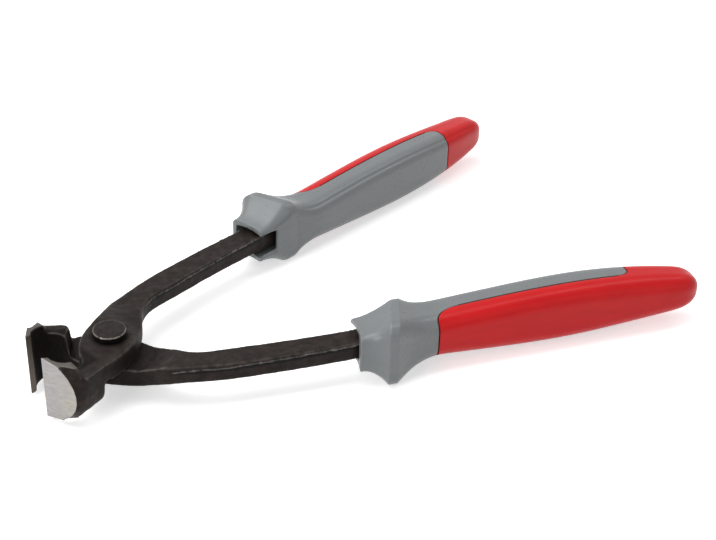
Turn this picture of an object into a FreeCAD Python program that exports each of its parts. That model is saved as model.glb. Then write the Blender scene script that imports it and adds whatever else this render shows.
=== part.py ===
import FreeCAD, Part
import math
import os
from collections import namedtuple

V = FreeCAD.Vector

# ---------------------------------------------------------------- driving sizes
# All lengths are in millimetres and all angles in degrees. A lever is drawn
# with the nippers shut: the pivot axis is Z at the origin, the cutting edges
# meet on the plane y = 0 at negative x, and the handles run towards positive x.
# The upper lever has its jaw at negative y and its handle at positive y. The
# lower lever is the same forging turned over about the X axis.

# jaw
EDGE_REACH = 25.3          # pivot axis to the cutting edge
EDGE_LENGTH = 21.8         # cutting edge, along the pivot axis
EDGE_GAP = 0.10            # left between the shut edges
BEVEL_WIDTH = 12.5         # front bevel, cutting edge to outer corner
BEVEL_LEAN = 12.0          # front bevel, back from square
LIP_WIDTH = 2.0            # inner bevel behind the cutting edge
LIP_ANGLE = 30.0           # inner bevel, to the middle plane
THROAT_DEPTH = 6.3         # hollow behind the lip, from the middle plane
THROAT_END = 12.9          # pivot axis to the back of the hollow
THROAT_END_DEPTH = 1.6     # middle plane to the back of the hollow
JAW_LENGTH = 6.6           # cutting edge to the step behind the wide jaw
JAW_OUTER = 14.3           # middle plane to the jaw's outer flank
FLANK_BOW_DEPTH = 1.0      # outer flank's bow, beyond a straight line
SIDE_SLOPE = 10.3          # ground side faces, falling away from the edge
CROWN_FRONT = 0.45         # share of the width that is flat, at the bevel
CROWN_BACK = 0.78          # and at the step
JAW_ROUND = 1.0            # edges of the step, and its depth at the flank

# lap joint
LAP_THICKNESS = 6.4        # each lap, and half of the neck
LAP_CLEARANCE = 0.05       # each mating face, back from the middle plane
LAP_FRONT_RADIUS = 8.7     # pivot axis to the narrowest front of the lap
LAP_BACK_RADIUS = 9.4      # pivot axis to the rounded back of the lap
POCKET_RADIUS = 12.2       # clearance cut round the other lever's lap
POCKET_LEAN = 10.0         # that cut's wall, opening away from the mating face
RAMP_START = 13.2          # where the tang's ramp leaves the mating face
RAMP_END = 21.0            # where it meets the tang's face
SHOULDER_REACH = 10.8      # pivot axis to the back of the jaw's shoulder
NECK_REACH = 9.2           # pivot axis back to the slimmest part of the neck
NECK_OUTER = 11.4          # middle plane to the outside of the neck there
NECK_ROUND = 2.6           # outer edge of the neck, away from the lap
EDGE_ROUND = 0.7           # edges of the forging behind the jaw
# outlines of the lap: bearing from the pivot axis, share of the radius above
LAP_FRONT = ((157, 1.11), (129, 0.98), (97, 1.02), (74, 1.28), (58, 1.88))
LAP_BACK = ((15, 1.76), (0, 1.34), (-43, 0.92), (-95, 1.03))

# rivet
RIVET_RADIUS = 4.0
RIVET_RUNNING_FIT = 0.05   # radial
RIVET_HEAD_RADIUS = 5.1
RIVET_HEAD_HEIGHT = 2.3
RIVET_HEAD_CHAMFER = 0.35
RIVET_FOOT_RADIUS = 4.1    # flat of the lower, hammered head
RIVET_HEAD_LIFT = 0.05     # head above the moving lap

# tang
TANG_WIDTH = 8.1
TANG_THICKNESS = 6.2
TANG_OFFSET = 17.5         # middle plane to the tang's centre line
TANG_BOW_END = 62.0        # where the bowed tang turns straight
TANG_SLOPE_START = 2.0     # lap face starts to fall to the tang face
TANG_SLOPE_END = 18.0
TANG_END = 160.0
TANG_END_WIDTH = 6.0
TANG_TAPER = 1.0           # outer face of the tang, drawn in at its end
# bowed part: share of the way to its end, share of the width inside the straight
OUTER_BOW = ((0.21, 0.58), (0.30, 0.40), (0.45, 0.20), (0.70, 0.05))
INNER_BOW = ((0.75, 0.07), (0.53, 0.17), (0.38, 0.33), (0.315, 0.62))

# grip, one moulding over the tang
MOUTH_X = 73.0
RIDGE_X = 84.2             # front edge of the guard's ridge
RIDGE_BAND = 3.0
RIDGE_TILT = 18.0
NECK_X = 100.0
RISE_X = 120.0
SWELL_X = 148.0
TAIL_X = 179.0
TURN_X = 188.5
BUTT_X = 193.0
GRIP_COVER = 6.4           # tang's centre line to the handle's outer face
MOUTH_FLARE = 1.0          # outer faces of the guard, beyond the handle's
RIDGE_FLARE = 5.0
TURN_INSET = 0.5           # outer faces towards the butt, within the handle's
BUTT_INSET = 2.7
MOUTH_WIDTH = 13.5
RIDGE_WIDTH = 18.6
NECK_WIDTH = 15.1
RISE_WIDTH = 15.0
SWELL_WIDTH = 15.3
TAIL_WIDTH = 13.7
TURN_WIDTH = 11.2
BUTT_WIDTH = 6.4
MOUTH_HEIGHT = 12.8
RIDGE_HEIGHT = 23.2
NECK_HEIGHT = 15.4
RISE_HEIGHT = 17.9
SWELL_HEIGHT = 19.2
TAIL_HEIGHT = 15.0
TURN_HEIGHT = 11.4
BUTT_HEIGHT = 7.6
MOUTH_CORNER = 1.8
RIDGE_CORNER = 4.4
GRIP_CORNER = 5.4
TURN_CORNER = 4.3
BUTT_CORNER = 2.8
FLARE_STEPS = 3            # sections along each hollow flare of the guard

# mouth of the grip
POCKET_DEPTH = 14.0        # open space round the tang, from the mouth
POCKET_GAP = 1.4           # tang to the pocket's walls
WINDOW_DEPTH = 8.3         # inner wall set back from the mouth
WINDOW_HEIGHT = 9.4

# outer shell
SHELL_START = 99.5
SHELL_WALL = 2.2
SHELL_SEAM = 0.1           # seam along both faces, in from the tang's centre line
SHELL_CORNER = 5.0
CAP_START = 168.0          # behind this the shell goes all round

# pose
OPEN_ANGLE = 27.6          # between the levers as they lie, from shut

# ---------------------------------------------------------------- derived
JAW_TOP = EDGE_LENGTH / 2
JAW_BACK = EDGE_REACH - JAW_LENGTH
TANG_OUTER = TANG_OFFSET + TANG_WIDTH / 2
TANG_INNER = TANG_OFFSET - TANG_WIDTH / 2
HALF_TANG = TANG_THICKNESS / 2
GRIP_OUTER = TANG_OFFSET + GRIP_COVER
FAR = 2 * BUTT_X           # larger than anything, for cutting blocks

Station = namedtuple("Station", "x inner outer height corner tilt")


def radial(radius, degrees):
    """Point at a distance and bearing from the pivot axis."""
    angle = math.radians(degrees)
    return V(radius * math.cos(angle), radius * math.sin(angle), 0)


def spline(points):
    """Smooth curve through the points."""
    curve = Part.BSplineCurve()
    curve.interpolate(points)
    return curve.toShape()


def arc(start, middle, end):
    """Circular arc through three points."""
    return Part.Arc(start, middle, end).toShape()


def block(low, high):
    """Rectangular block between two corners."""
    return Part.makeBox(high.x - low.x, high.y - low.y, high.z - low.z, low)


def lever_plan():
    """Outline of one forging seen along the pivot axis."""
    lean = math.radians(BEVEL_LEAN)
    lip = math.radians(LIP_ANGLE)
    edge = V(-EDGE_REACH, -EDGE_GAP / 2, 0)
    lip_back = edge + V(math.cos(lip), -math.sin(lip), 0) * LIP_WIDTH
    throat_back = V(-THROAT_END, -THROAT_END_DEPTH, 0)
    throat_floor = V((lip_back.x + throat_back.x) / 2, -THROAT_DEPTH, 0)
    # the jaw's crown cuts both this bevel and the flank behind it shorter
    bevel_end = edge + V(math.sin(lean), -math.cos(lean), 0) * JAW_OUTER
    flank = V(-JAW_BACK, -JAW_OUTER, 0)
    flank_middle = (bevel_end + flank) / 2 - V(0, FLANK_BOW_DEPTH, 0)
    bow_outer = V(TANG_BOW_END, TANG_OUTER, 0)
    bow_inner = V(TANG_BOW_END, TANG_INNER, 0)
    tip_outer = V(TANG_END, TANG_OUTER - TANG_TAPER, 0)
    tip_inner = tip_outer - V(0, TANG_END_WIDTH, 0)

    front = [radial(LAP_FRONT_RADIUS * share, bearing) for bearing, share in LAP_FRONT]
    front += [bow_outer - V(TANG_BOW_END * (1 - along), TANG_WIDTH * share, 0)
              for along, share in OUTER_BOW]
    back = [bow_inner - V(TANG_BOW_END * (1 - along), TANG_WIDTH * share, 0)
            for along, share in INNER_BOW]
    back += [radial(LAP_BACK_RADIUS * share, bearing) for bearing, share in LAP_BACK]
    neck = V(-NECK_REACH, -NECK_OUTER, 0)
    step = flank + V(0, JAW_ROUND, 0)
    edges = [
        Part.makeLine(edge, lip_back),
        arc(lip_back, throat_floor, throat_back),
        spline([throat_back] + front + [bow_outer, tip_outer]),
        Part.makeLine(tip_outer, tip_inner),
        spline([tip_inner, bow_inner] + back + [neck, step]),
        Part.makeLine(step, flank),
        arc(flank, flank_middle, bevel_end),
        Part.makeLine(bevel_end, edge),
    ]
    return Part.Face(Part.Wire(edges))


def crown_section(x, width, flat):
    """Cross-section of the jaw: sloping ground sides and a crowned outer face."""
    shoulder = width * flat
    top = JAW_TOP - shoulder * math.tan(math.radians(SIDE_SLOPE))
    upper = V(x, -shoulder, top)
    lower = V(x, -shoulder, -top)
    edges = [
        Part.makeLine(V(x, LIP_WIDTH, JAW_TOP), V(x, 0, JAW_TOP)),
        Part.makeLine(V(x, 0, JAW_TOP), upper),
        arc(upper, V(x, -width, 0), lower),
        Part.makeLine(lower, V(x, 0, -JAW_TOP)),
        Part.makeLine(V(x, 0, -JAW_TOP), V(x, LIP_WIDTH, -JAW_TOP)),
        Part.makeLine(V(x, LIP_WIDTH, -JAW_TOP), V(x, LIP_WIDTH, JAW_TOP)),
    ]
    return Part.Wire(edges)


def jaw_envelope():
    """Space the wide jaw fills, narrower at the bevel than at the step."""
    lean = math.radians(BEVEL_LEAN)
    corner_x = -EDGE_REACH + BEVEL_WIDTH * math.sin(lean)
    corner_width = BEVEL_WIDTH * math.cos(lean)
    front = crown_section(-EDGE_REACH - EDGE_GAP, corner_width, CROWN_FRONT)
    middle = crown_section(corner_x, corner_width, CROWN_FRONT)
    back = crown_section(-JAW_BACK, JAW_OUTER, CROWN_BACK)
    return Part.makeLoft([front, middle, back], True, True)


def jaw(slab):
    """The wide jaw, cut from the plan's slab, with the edges of its step rounded."""
    body = slab.common(jaw_envelope())
    step = [e for e in body.Edges
            if e.BoundBox.XMin > -JAW_BACK - EDGE_GAP and e.BoundBox.YMin < -THROAT_DEPTH
            and e.BoundBox.ZLength < JAW_TOP]
    return body.makeFillet(JAW_ROUND, step)


def side_profile():
    """Lever behind the jaw seen from the side: neck, lap, slope and tang."""
    slope = Part.BezierCurve()
    middle = (TANG_SLOPE_START + TANG_SLOPE_END) / 2
    slope.setPoles([
        V(TANG_SLOPE_START, 0, LAP_THICKNESS),
        V(middle, 0, LAP_THICKNESS),
        V(middle, 0, HALF_TANG),
        V(TANG_SLOPE_END, 0, HALF_TANG),
    ])
    corners = [
        V(TANG_SLOPE_END, 0, HALF_TANG),
        V(TANG_END, 0, HALF_TANG),
        V(TANG_END, 0, -HALF_TANG),
        V(0, 0, -HALF_TANG),
        V(0, 0, -LAP_THICKNESS),
        V(-JAW_BACK, 0, -LAP_THICKNESS),
        V(-JAW_BACK, 0, LAP_THICKNESS),
        V(TANG_SLOPE_START, 0, LAP_THICKNESS),
    ]
    lines = [Part.makeLine(a, b) for a, b in zip(corners, corners[1:])]
    face = Part.Face(Part.Wire([slope.toShape()] + lines))
    return face.extrude(V(0, FAR, 0)).translated(V(0, -FAR / 2, 0))


def rounded(body):
    """The forging behind the jaw with its heel and its long edges rounded."""
    heel = [e for e in body.Edges
            if e.BoundBox.XLength > EDGE_ROUND
            and e.BoundBox.ZMax < -HALF_TANG and e.BoundBox.YMin < -NECK_OUTER]
    body = body.makeFillet(NECK_ROUND, heel)
    along = [e for e in body.Edges
             if e.BoundBox.XLength > EDGE_ROUND
             and e.BoundBox.ZMin > -HALF_TANG - LAP_CLEARANCE
             and (e.BoundBox.ZMin > HALF_TANG - LAP_CLEARANCE
                  or e.BoundBox.XMax > LAP_THICKNESS)]
    return body.makeFillet(EDGE_ROUND, along)


def lever():
    """One forging: jaw, half-lapped joint and tang."""
    plan = lever_plan().translated(V(0, 0, -JAW_TOP))
    slab = plan.extrude(V(0, 0, EDGE_LENGTH))
    forging = jaw(slab).fuse(rounded(slab.common(side_profile())))
    pocket_height = JAW_TOP + LAP_CLEARANCE
    pocket_mouth = POCKET_RADIUS + pocket_height * math.tan(math.radians(POCKET_LEAN))
    pocket = Part.makeCone(pocket_mouth, POCKET_RADIUS, pocket_height, V(0, 0, -JAW_TOP))
    ramp = Part.makeCone(RAMP_END, RAMP_START, HALF_TANG + LAP_CLEARANCE,
                         V(0, 0, -HALF_TANG))
    ramp = ramp.common(block(V(0, -FAR, -JAW_TOP), V(FAR, FAR, JAW_TOP)))
    shoulder = block(V(-SHOULDER_REACH, -FAR, -JAW_TOP),
                     V(POCKET_RADIUS, 0, LAP_CLEARANCE))
    hole = Part.makeCylinder(RIVET_RADIUS + RIVET_RUNNING_FIT, EDGE_LENGTH,
                             V(0, 0, -JAW_TOP))
    return forging.cut(pocket).cut(ramp).cut(shoulder).cut(hole).removeSplitter()


def rivet():
    """Shank with a flat chamfered head above and below."""
    top = LAP_THICKNESS + RIVET_HEAD_LIFT
    outline = [
        V(0, 0, top + RIVET_HEAD_HEIGHT),
        V(RIVET_HEAD_RADIUS - RIVET_HEAD_CHAMFER, 0, top + RIVET_HEAD_HEIGHT),
        V(RIVET_HEAD_RADIUS, 0, top + RIVET_HEAD_HEIGHT - RIVET_HEAD_CHAMFER),
        V(RIVET_HEAD_RADIUS, 0, top),
        V(RIVET_RADIUS, 0, top),
        V(RIVET_RADIUS, 0, -LAP_THICKNESS),
        V(RIVET_HEAD_RADIUS, 0, -LAP_THICKNESS),
        V(RIVET_HEAD_RADIUS, 0, -LAP_THICKNESS - RIVET_HEAD_HEIGHT / 2),
        V(RIVET_FOOT_RADIUS, 0, -LAP_THICKNESS - RIVET_HEAD_HEIGHT),
        V(0, 0, -LAP_THICKNESS - RIVET_HEAD_HEIGHT),
    ]
    face = Part.Face(Part.makePolygon(outline + outline[:1]))
    return face.revolve(V(0, 0, 0), V(0, 0, 1), 360)


def section(place):
    """Rounded rectangle across the handle, turned by the station's tilt."""
    tilt = math.radians(place.tilt)
    half_width = (place.outer - place.inner) / 2 / math.cos(tilt)
    half_height = place.height / 2
    radius = place.corner
    edges = []
    last = None
    first = None
    for quarter, (side, up) in enumerate([(1, 1), (-1, 1), (-1, -1), (1, -1)]):
        centre = V(0, side * (half_width - radius), up * (half_height - radius))
        turn = [math.radians(90 * quarter + step) for step in (0, 45, 90)]
        points = [centre + V(0, math.cos(a), math.sin(a)) * radius for a in turn]
        if last is not None:
            edges.append(Part.makeLine(last, points[0]))
        else:
            first = points[0]
        edges.append(arc(*points))
        last = points[2]
    edges.append(Part.makeLine(last, first))
    wire = Part.Wire(edges)
    centre = V(place.x, (place.inner + place.outer) / 2, 0)
    wire.Placement = FreeCAD.Placement(
        centre, FreeCAD.Rotation(V(0, 0, 1), place.tilt))
    return wire


def flare(narrow, wide):
    """Stations of a hollow flare that opens from one station to the other."""
    stations = []
    for step in range(FLARE_STEPS + 1):
        t = step / FLARE_STEPS
        grow = t * t
        stations.append(Station(
            narrow.x + (wide.x - narrow.x) * t,
            narrow.inner + (wide.inner - narrow.inner) * t,
            narrow.outer + (wide.outer - narrow.outer) * grow,
            narrow.height + (wide.height - narrow.height) * grow,
            narrow.corner + (wide.corner - narrow.corner) * t,
            narrow.tilt + (wide.tilt - narrow.tilt) * t,
        ))
    return stations


def station(x, outer, width, height, corner, tilt=0):
    """Station whose outer face and width are given."""
    return Station(x, outer - width, outer, height, corner, tilt)


def grip_stations():
    """Stations of the plain handle, from the neck to the butt."""
    turn_outer = GRIP_OUTER - TURN_INSET
    butt_outer = GRIP_OUTER - BUTT_INSET
    return [
        station(NECK_X, GRIP_OUTER, NECK_WIDTH, NECK_HEIGHT, GRIP_CORNER),
        station(RISE_X, GRIP_OUTER, RISE_WIDTH, RISE_HEIGHT, GRIP_CORNER),
        station(SWELL_X, GRIP_OUTER, SWELL_WIDTH, SWELL_HEIGHT, GRIP_CORNER),
        station(TAIL_X, GRIP_OUTER, TAIL_WIDTH, TAIL_HEIGHT, GRIP_CORNER),
        station(TURN_X, turn_outer, TURN_WIDTH, TURN_HEIGHT, TURN_CORNER),
        station(BUTT_X, butt_outer, BUTT_WIDTH, BUTT_HEIGHT, BUTT_CORNER),
    ]


def inset(full, wall):
    """The same station with a wall taken off all round."""
    return Station(full.x, full.inner + wall, full.outer - wall,
                   full.height - 2 * wall, full.corner - wall, full.tilt)


def grip_skin():
    """Whole outer form of one grip: guard, neck, swell and butt."""
    mouth = station(MOUTH_X, GRIP_OUTER + MOUTH_FLARE, MOUTH_WIDTH, MOUTH_HEIGHT,
                    MOUTH_CORNER)
    ridge = station(RIDGE_X, GRIP_OUTER + RIDGE_FLARE, RIDGE_WIDTH, RIDGE_HEIGHT,
                    RIDGE_CORNER, RIDGE_TILT)
    ridge_back = ridge._replace(x=RIDGE_X + RIDGE_BAND)
    handle = grip_stations()
    runs = [
        flare(mouth, ridge),
        [ridge, ridge_back],
        flare(handle[0], ridge_back),
        handle,
    ]
    parts = [Part.makeLoft([section(s) for s in run], True, False) for run in runs]
    return parts[0].multiFuse(parts[1:])


def shell_zone():
    """Block that holds everything moulded in the shell's material."""
    high = 2 * GRIP_OUTER
    low = -GRIP_OUTER
    parting = TANG_OFFSET - SHELL_SEAM
    corner = SHELL_CORNER
    quarter = corner * (1 - math.sqrt(0.5))
    start = V(SHELL_START, parting + corner, 0)
    seam = V(SHELL_START + corner, parting, 0)
    seam_end = V(CAP_START - corner / 2, parting, 0)
    cap = V(CAP_START, parting - corner / 2, 0)
    edges = [
        Part.makeLine(V(SHELL_START, high, 0), start),
        arc(start, V(SHELL_START + quarter, parting + quarter, 0), seam),
        Part.makeLine(seam, seam_end),
        arc(seam_end, V(CAP_START - quarter / 2, parting - quarter / 2, 0), cap),
        Part.makeLine(cap, V(CAP_START, low, 0)),
        Part.makeLine(V(CAP_START, low, 0), V(FAR, low, 0)),
        Part.makeLine(V(FAR, low, 0), V(FAR, high, 0)),
        Part.makeLine(V(FAR, high, 0), V(SHELL_START, high, 0)),
    ]
    face = Part.Face(Part.Wire(edges)).translated(V(0, 0, -RIDGE_HEIGHT))
    return face.extrude(V(0, 0, 2 * RIDGE_HEIGHT))


def grip(forging):
    """Core and outer shell of one grip, with room for the forging's tang."""
    skin = grip_skin()
    stations = grip_stations()
    inner = [inset(s, SHELL_WALL) for s in stations[:-1]]
    form = Part.makeLoft([section(s) for s in inner], True, False)
    shell = skin.common(shell_zone()).cut(form)
    core = skin.cut(shell_zone()).fuse(skin.common(form)).removeSplitter()
    half_gap = HALF_TANG + POCKET_GAP
    pocket = block(V(0, TANG_INNER - POCKET_GAP, -half_gap),
                   V(MOUTH_X + POCKET_DEPTH, TANG_OUTER + POCKET_GAP, half_gap))
    window = block(V(0, 0, -WINDOW_HEIGHT / 2),
                   V(MOUTH_X + WINDOW_DEPTH, TANG_OFFSET, WINDOW_HEIGHT / 2))
    core = core.cut(pocket).cut(window).cut(forging)
    return core, shell


def turned(shape, angle, flipped):
    """Shape in its place: turned over for the lower lever, then opened."""
    placed = shape.copy()
    if flipped:
        placed.rotate(V(0, 0, 0), V(1, 0, 0), 180)
    placed.rotate(V(0, 0, 0), V(0, 0, 1), angle)
    return placed


def main():
    """Build every piece, open the nippers and lay them down."""
    forging = lever()
    core, shell = grip(forging)
    pieces = {"rivet": rivet()}
    for side, sign in (("upper", 1), ("lower", -1)):
        angle = sign * OPEN_ANGLE / 2
        flipped = sign < 0
        pieces[side + "_lever"] = turned(forging, angle, flipped)
        pieces[side + "_grip_core"] = turned(core, angle, flipped)
        pieces[side + "_grip_shell"] = turned(shell, angle, flipped)

    # the frame's origin is under the middle of the nippers, on the table
    box = Part.makeCompound(list(pieces.values())).optimalBoundingBox(False, False)
    shift = V(-(box.XMin + box.XMax) / 2, -(box.YMin + box.YMax) / 2, -box.ZMin)
    os.makedirs("parts", exist_ok=True)
    for name, shape in pieces.items():
        placed = shape.translated(shift)
        print(name, "solids", len(placed.Solids), "valid", placed.isValid(),
              "volume", round(placed.Volume, 1))
        placed.exportStep(os.path.join("parts", name + ".step"))
    print("pivot at", round(shift.x, 3), round(shift.y, 3), round(shift.z, 3))
    print("size", round(box.XLength, 2), round(box.YLength, 2), round(box.ZLength, 2))


main()
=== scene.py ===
"""End cutting nippers lying open on a pale floor, dressed over their CAD frame."""

import logging
import math
from dataclasses import dataclass
from enum import Enum
from functools import reduce

import bmesh
import bpy
import numpy as np
from mathutils import Matrix


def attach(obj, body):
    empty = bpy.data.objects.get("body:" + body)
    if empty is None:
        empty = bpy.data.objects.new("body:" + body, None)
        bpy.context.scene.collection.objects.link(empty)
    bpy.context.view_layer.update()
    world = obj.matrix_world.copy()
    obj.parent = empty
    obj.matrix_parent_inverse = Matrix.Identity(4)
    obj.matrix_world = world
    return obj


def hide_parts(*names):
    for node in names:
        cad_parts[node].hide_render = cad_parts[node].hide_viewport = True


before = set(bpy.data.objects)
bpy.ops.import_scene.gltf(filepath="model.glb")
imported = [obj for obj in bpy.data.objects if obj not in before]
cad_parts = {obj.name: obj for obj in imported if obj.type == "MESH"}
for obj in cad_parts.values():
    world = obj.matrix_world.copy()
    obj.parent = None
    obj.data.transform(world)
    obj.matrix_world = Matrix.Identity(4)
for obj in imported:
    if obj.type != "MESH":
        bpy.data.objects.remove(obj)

LOG = logging.getLogger("nippers")
MM = 0.001

Triple = tuple[float, float, float]
Socket = bpy.types.NodeSocket

# The shut pose: pivot axis Z at the origin, jaws towards -x, handles towards +x,
# millimetres. The upper half's handle is on the +y side.
PIVOT = np.array([-79.67, 0.0, 11.6])
HALF_OPENING = 13.8


class Half(Enum):
    """The two halves of the nippers, named after the levers."""

    UPPER = "upper"
    LOWER = "lower"

    @property
    def body(self) -> str:
        """Name of the body that this half's pieces ride."""
        return self.value + "_half"

    @property
    def sign(self) -> float:
        """1 for the upper half, and -1 for the lower one, which is turned over."""
        return 1.0 if self is Half.UPPER else -1.0

    @property
    def turn(self) -> np.ndarray:
        """Rotation from the shut pose to this half's place, as a 3 by 3 matrix."""
        angle = math.radians(self.sign * HALF_OPENING)
        c, s = math.cos(angle), math.sin(angle)
        swing = np.array([[c, -s, 0.0], [s, c, 0.0], [0.0, 0.0, 1.0]])
        return swing @ np.diag([1.0, self.sign, self.sign])

    def place(self, points: np.ndarray) -> np.ndarray:
        """Move points of the shut pose to where this half lies.

        Args:
            points: Any array whose last axis is x, y, z in millimetres.

        Returns:
            The points in metres in the frame's own axes.
        """
        return (points @ self.turn.T + PIVOT) * MM


def smooth_noise(along: np.ndarray, seed: int, pitch: float) -> np.ndarray:
    """Wavy random line: a sum of sines of random length and phase.

    Args:
        along: Distance along the line, in millimetres.
        seed: Seed of the random lengths and phases.
        pitch: Shortest wave, in millimetres.

    Returns:
        Values of about -1 to 1, one for each distance.
    """
    terms = 14
    rng = np.random.default_rng(seed)
    lengths = pitch * (1.0 + 5.0 * rng.random(terms))
    phases = rng.random(terms) * 2.0 * np.pi
    waves = np.sin(2.0 * np.pi * along[..., None] / lengths + phases)
    return waves.sum(axis=-1) / math.sqrt(terms)


def natural_spline(knots: np.ndarray, values: np.ndarray, at: np.ndarray) -> np.ndarray:
    """Natural cubic spline through the values, straight beyond its ends.

    It is a straight line plus a share of the cubed distance from each knot, where
    the shares add up to nothing, and so do the shares times their knots.

    Args:
        knots: Positions of the values.
        values: One value for each knot.
        at: Positions to evaluate.

    Returns:
        The spline's height at each position.
    """
    line = np.stack([np.ones_like(knots), knots])
    cubes = np.abs(knots[:, None] - knots) ** 3
    system = np.block([[cubes, line.T], [line, np.zeros((2, 2))]])
    *shares, height, slope = np.linalg.solve(system, np.append(values, [0.0, 0.0]))
    return np.abs(at[:, None] - knots) ** 3 @ np.array(shares) + height + slope * at


def blur(values: np.ndarray, step: float, width: float) -> np.ndarray:
    """Values of an even table, averaged under a bell curve.

    Args:
        values: The table.
        step: Distance between entries.
        width: Standard deviation of the bell curve, in the same unit.

    Returns:
        The averaged table, of the same length.
    """
    reach = int(math.ceil(4.0 * width / step))
    bell = np.exp(-0.5 * (np.arange(-reach, reach + 1) * step / width) ** 2)
    padded = np.pad(values, reach, mode="reflect", reflect_type="odd")
    return np.convolve(padded, bell / bell.sum(), mode="valid")


def ramp(values: np.ndarray, low: float, high: float) -> np.ndarray:
    """Smooth step from 0 at the low value to 1 at the high one, which may be the lesser."""
    way = np.clip((values - low) / (high - low), 0.0, 1.0)
    return way * way * (3.0 - 2.0 * way)


def tube_faces(rows: int, columns: int) -> np.ndarray:
    """Quads of a grid that closes on itself across its columns.

    Args:
        rows: Number of grid rows.
        columns: Number of grid columns.

    Returns:
        Array of four vertex numbers a face, row after row.
    """
    row, column = np.meshgrid(np.arange(rows - 1), np.arange(columns), indexing="ij")
    ahead = (column + 1) % columns
    corners = (row * columns + column, row * columns + ahead,
               (row + 1) * columns + ahead, (row + 1) * columns + column)
    return np.stack(corners, axis=-1).reshape(-1, 4)


def fan_faces(row: int, columns: int, pole: int) -> np.ndarray:
    """Triangles from one row of a tube to a single pole vertex."""
    column = np.arange(columns)
    start = row * columns
    return np.stack([start + column, start + (column + 1) % columns,
                     np.full(columns, pole)], axis=-1)


def closed_tube(grid: np.ndarray, poles: object) -> tuple[np.ndarray, list[np.ndarray]]:
    """Surface of a grid that closes on itself across its columns, capped at both ends.

    Args:
        grid: Points by row and column.
        poles: The point ahead of the first row, and the one behind the last.

    Returns:
        The grid's points followed by the poles, and the arrays of faces.
    """
    rows, columns = grid.shape[:2]
    count = rows * columns
    faces = [tube_faces(rows, columns), fan_faces(0, columns, count)[:, ::-1],
             fan_faces(rows - 1, columns, count + 1)]
    return np.concatenate([grid.reshape(-1, 3), poles]), faces


def shade(colour: Triple, share: float) -> Triple:
    """Colour made darker or lighter by a share."""
    return tuple(share * part for part in colour)


def put(name: str, data: bpy.types.ID) -> bpy.types.Object:
    """Add an object to the scene, at the origin."""
    item = bpy.data.objects.new(name, data)
    bpy.context.scene.collection.objects.link(item)
    return item


@dataclass
class Piece:
    """A finished mesh and what it stands for."""

    name: str
    half: Half
    slot: str
    stands_for: tuple[str, ...] = ()

    def build(self, points: np.ndarray, faces: list[np.ndarray], material: bpy.types.Material,
              marks: dict[str, np.ndarray] | None = None) -> bpy.types.Object:
        """Make the object from shut-pose points and let it ride its half.

        The faces are turned round as a whole where the signed volume (a sixth of
        the sum of the corner triple products) says that they point inwards.

        Args:
            points: Vertices of the shut pose, in millimetres.
            faces: Arrays of triangles or quads.
            material: The piece's finish.
            marks: Named numbers for the vertices, which the finish reads.

        Returns:
            The new object, at the origin with its place in its mesh.
        """
        placed = self.half.place(points)
        loops = [face for block in faces for face in block.tolist()]
        thirds = np.concatenate([block[:, [0, 1, 2]] for block in faces]
                                + [block[:, [0, 2, 3]] for block in faces if block.shape[1] == 4])
        a, b, c = (placed[thirds[:, k]] - placed.mean(axis=0) for k in range(3))
        if np.einsum("ij,ij->i", a, np.cross(b, c)).sum() < 0.0:
            loops = [face[::-1] for face in loops]
        mesh = bpy.data.meshes.new(self.name)
        mesh.from_pydata(placed.tolist(), [], loops)
        mesh.validate()
        mesh.polygons.foreach_set("use_smooth", np.ones(len(mesh.polygons), dtype=bool))
        mesh.materials.append(material)
        for name, values in (marks or {}).items():
            layer = mesh.attributes.new(name, "FLOAT", "POINT")
            layer.data.foreach_set("value", values.astype(np.float32))
        piece = put(self.name, mesh)
        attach(piece, self.half.body)
        if self.stands_for:
            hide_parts(*self.stands_for)
        LOG.info("%s: %d vertices, %d faces", self.name, len(placed), len(loops))
        return piece


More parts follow.
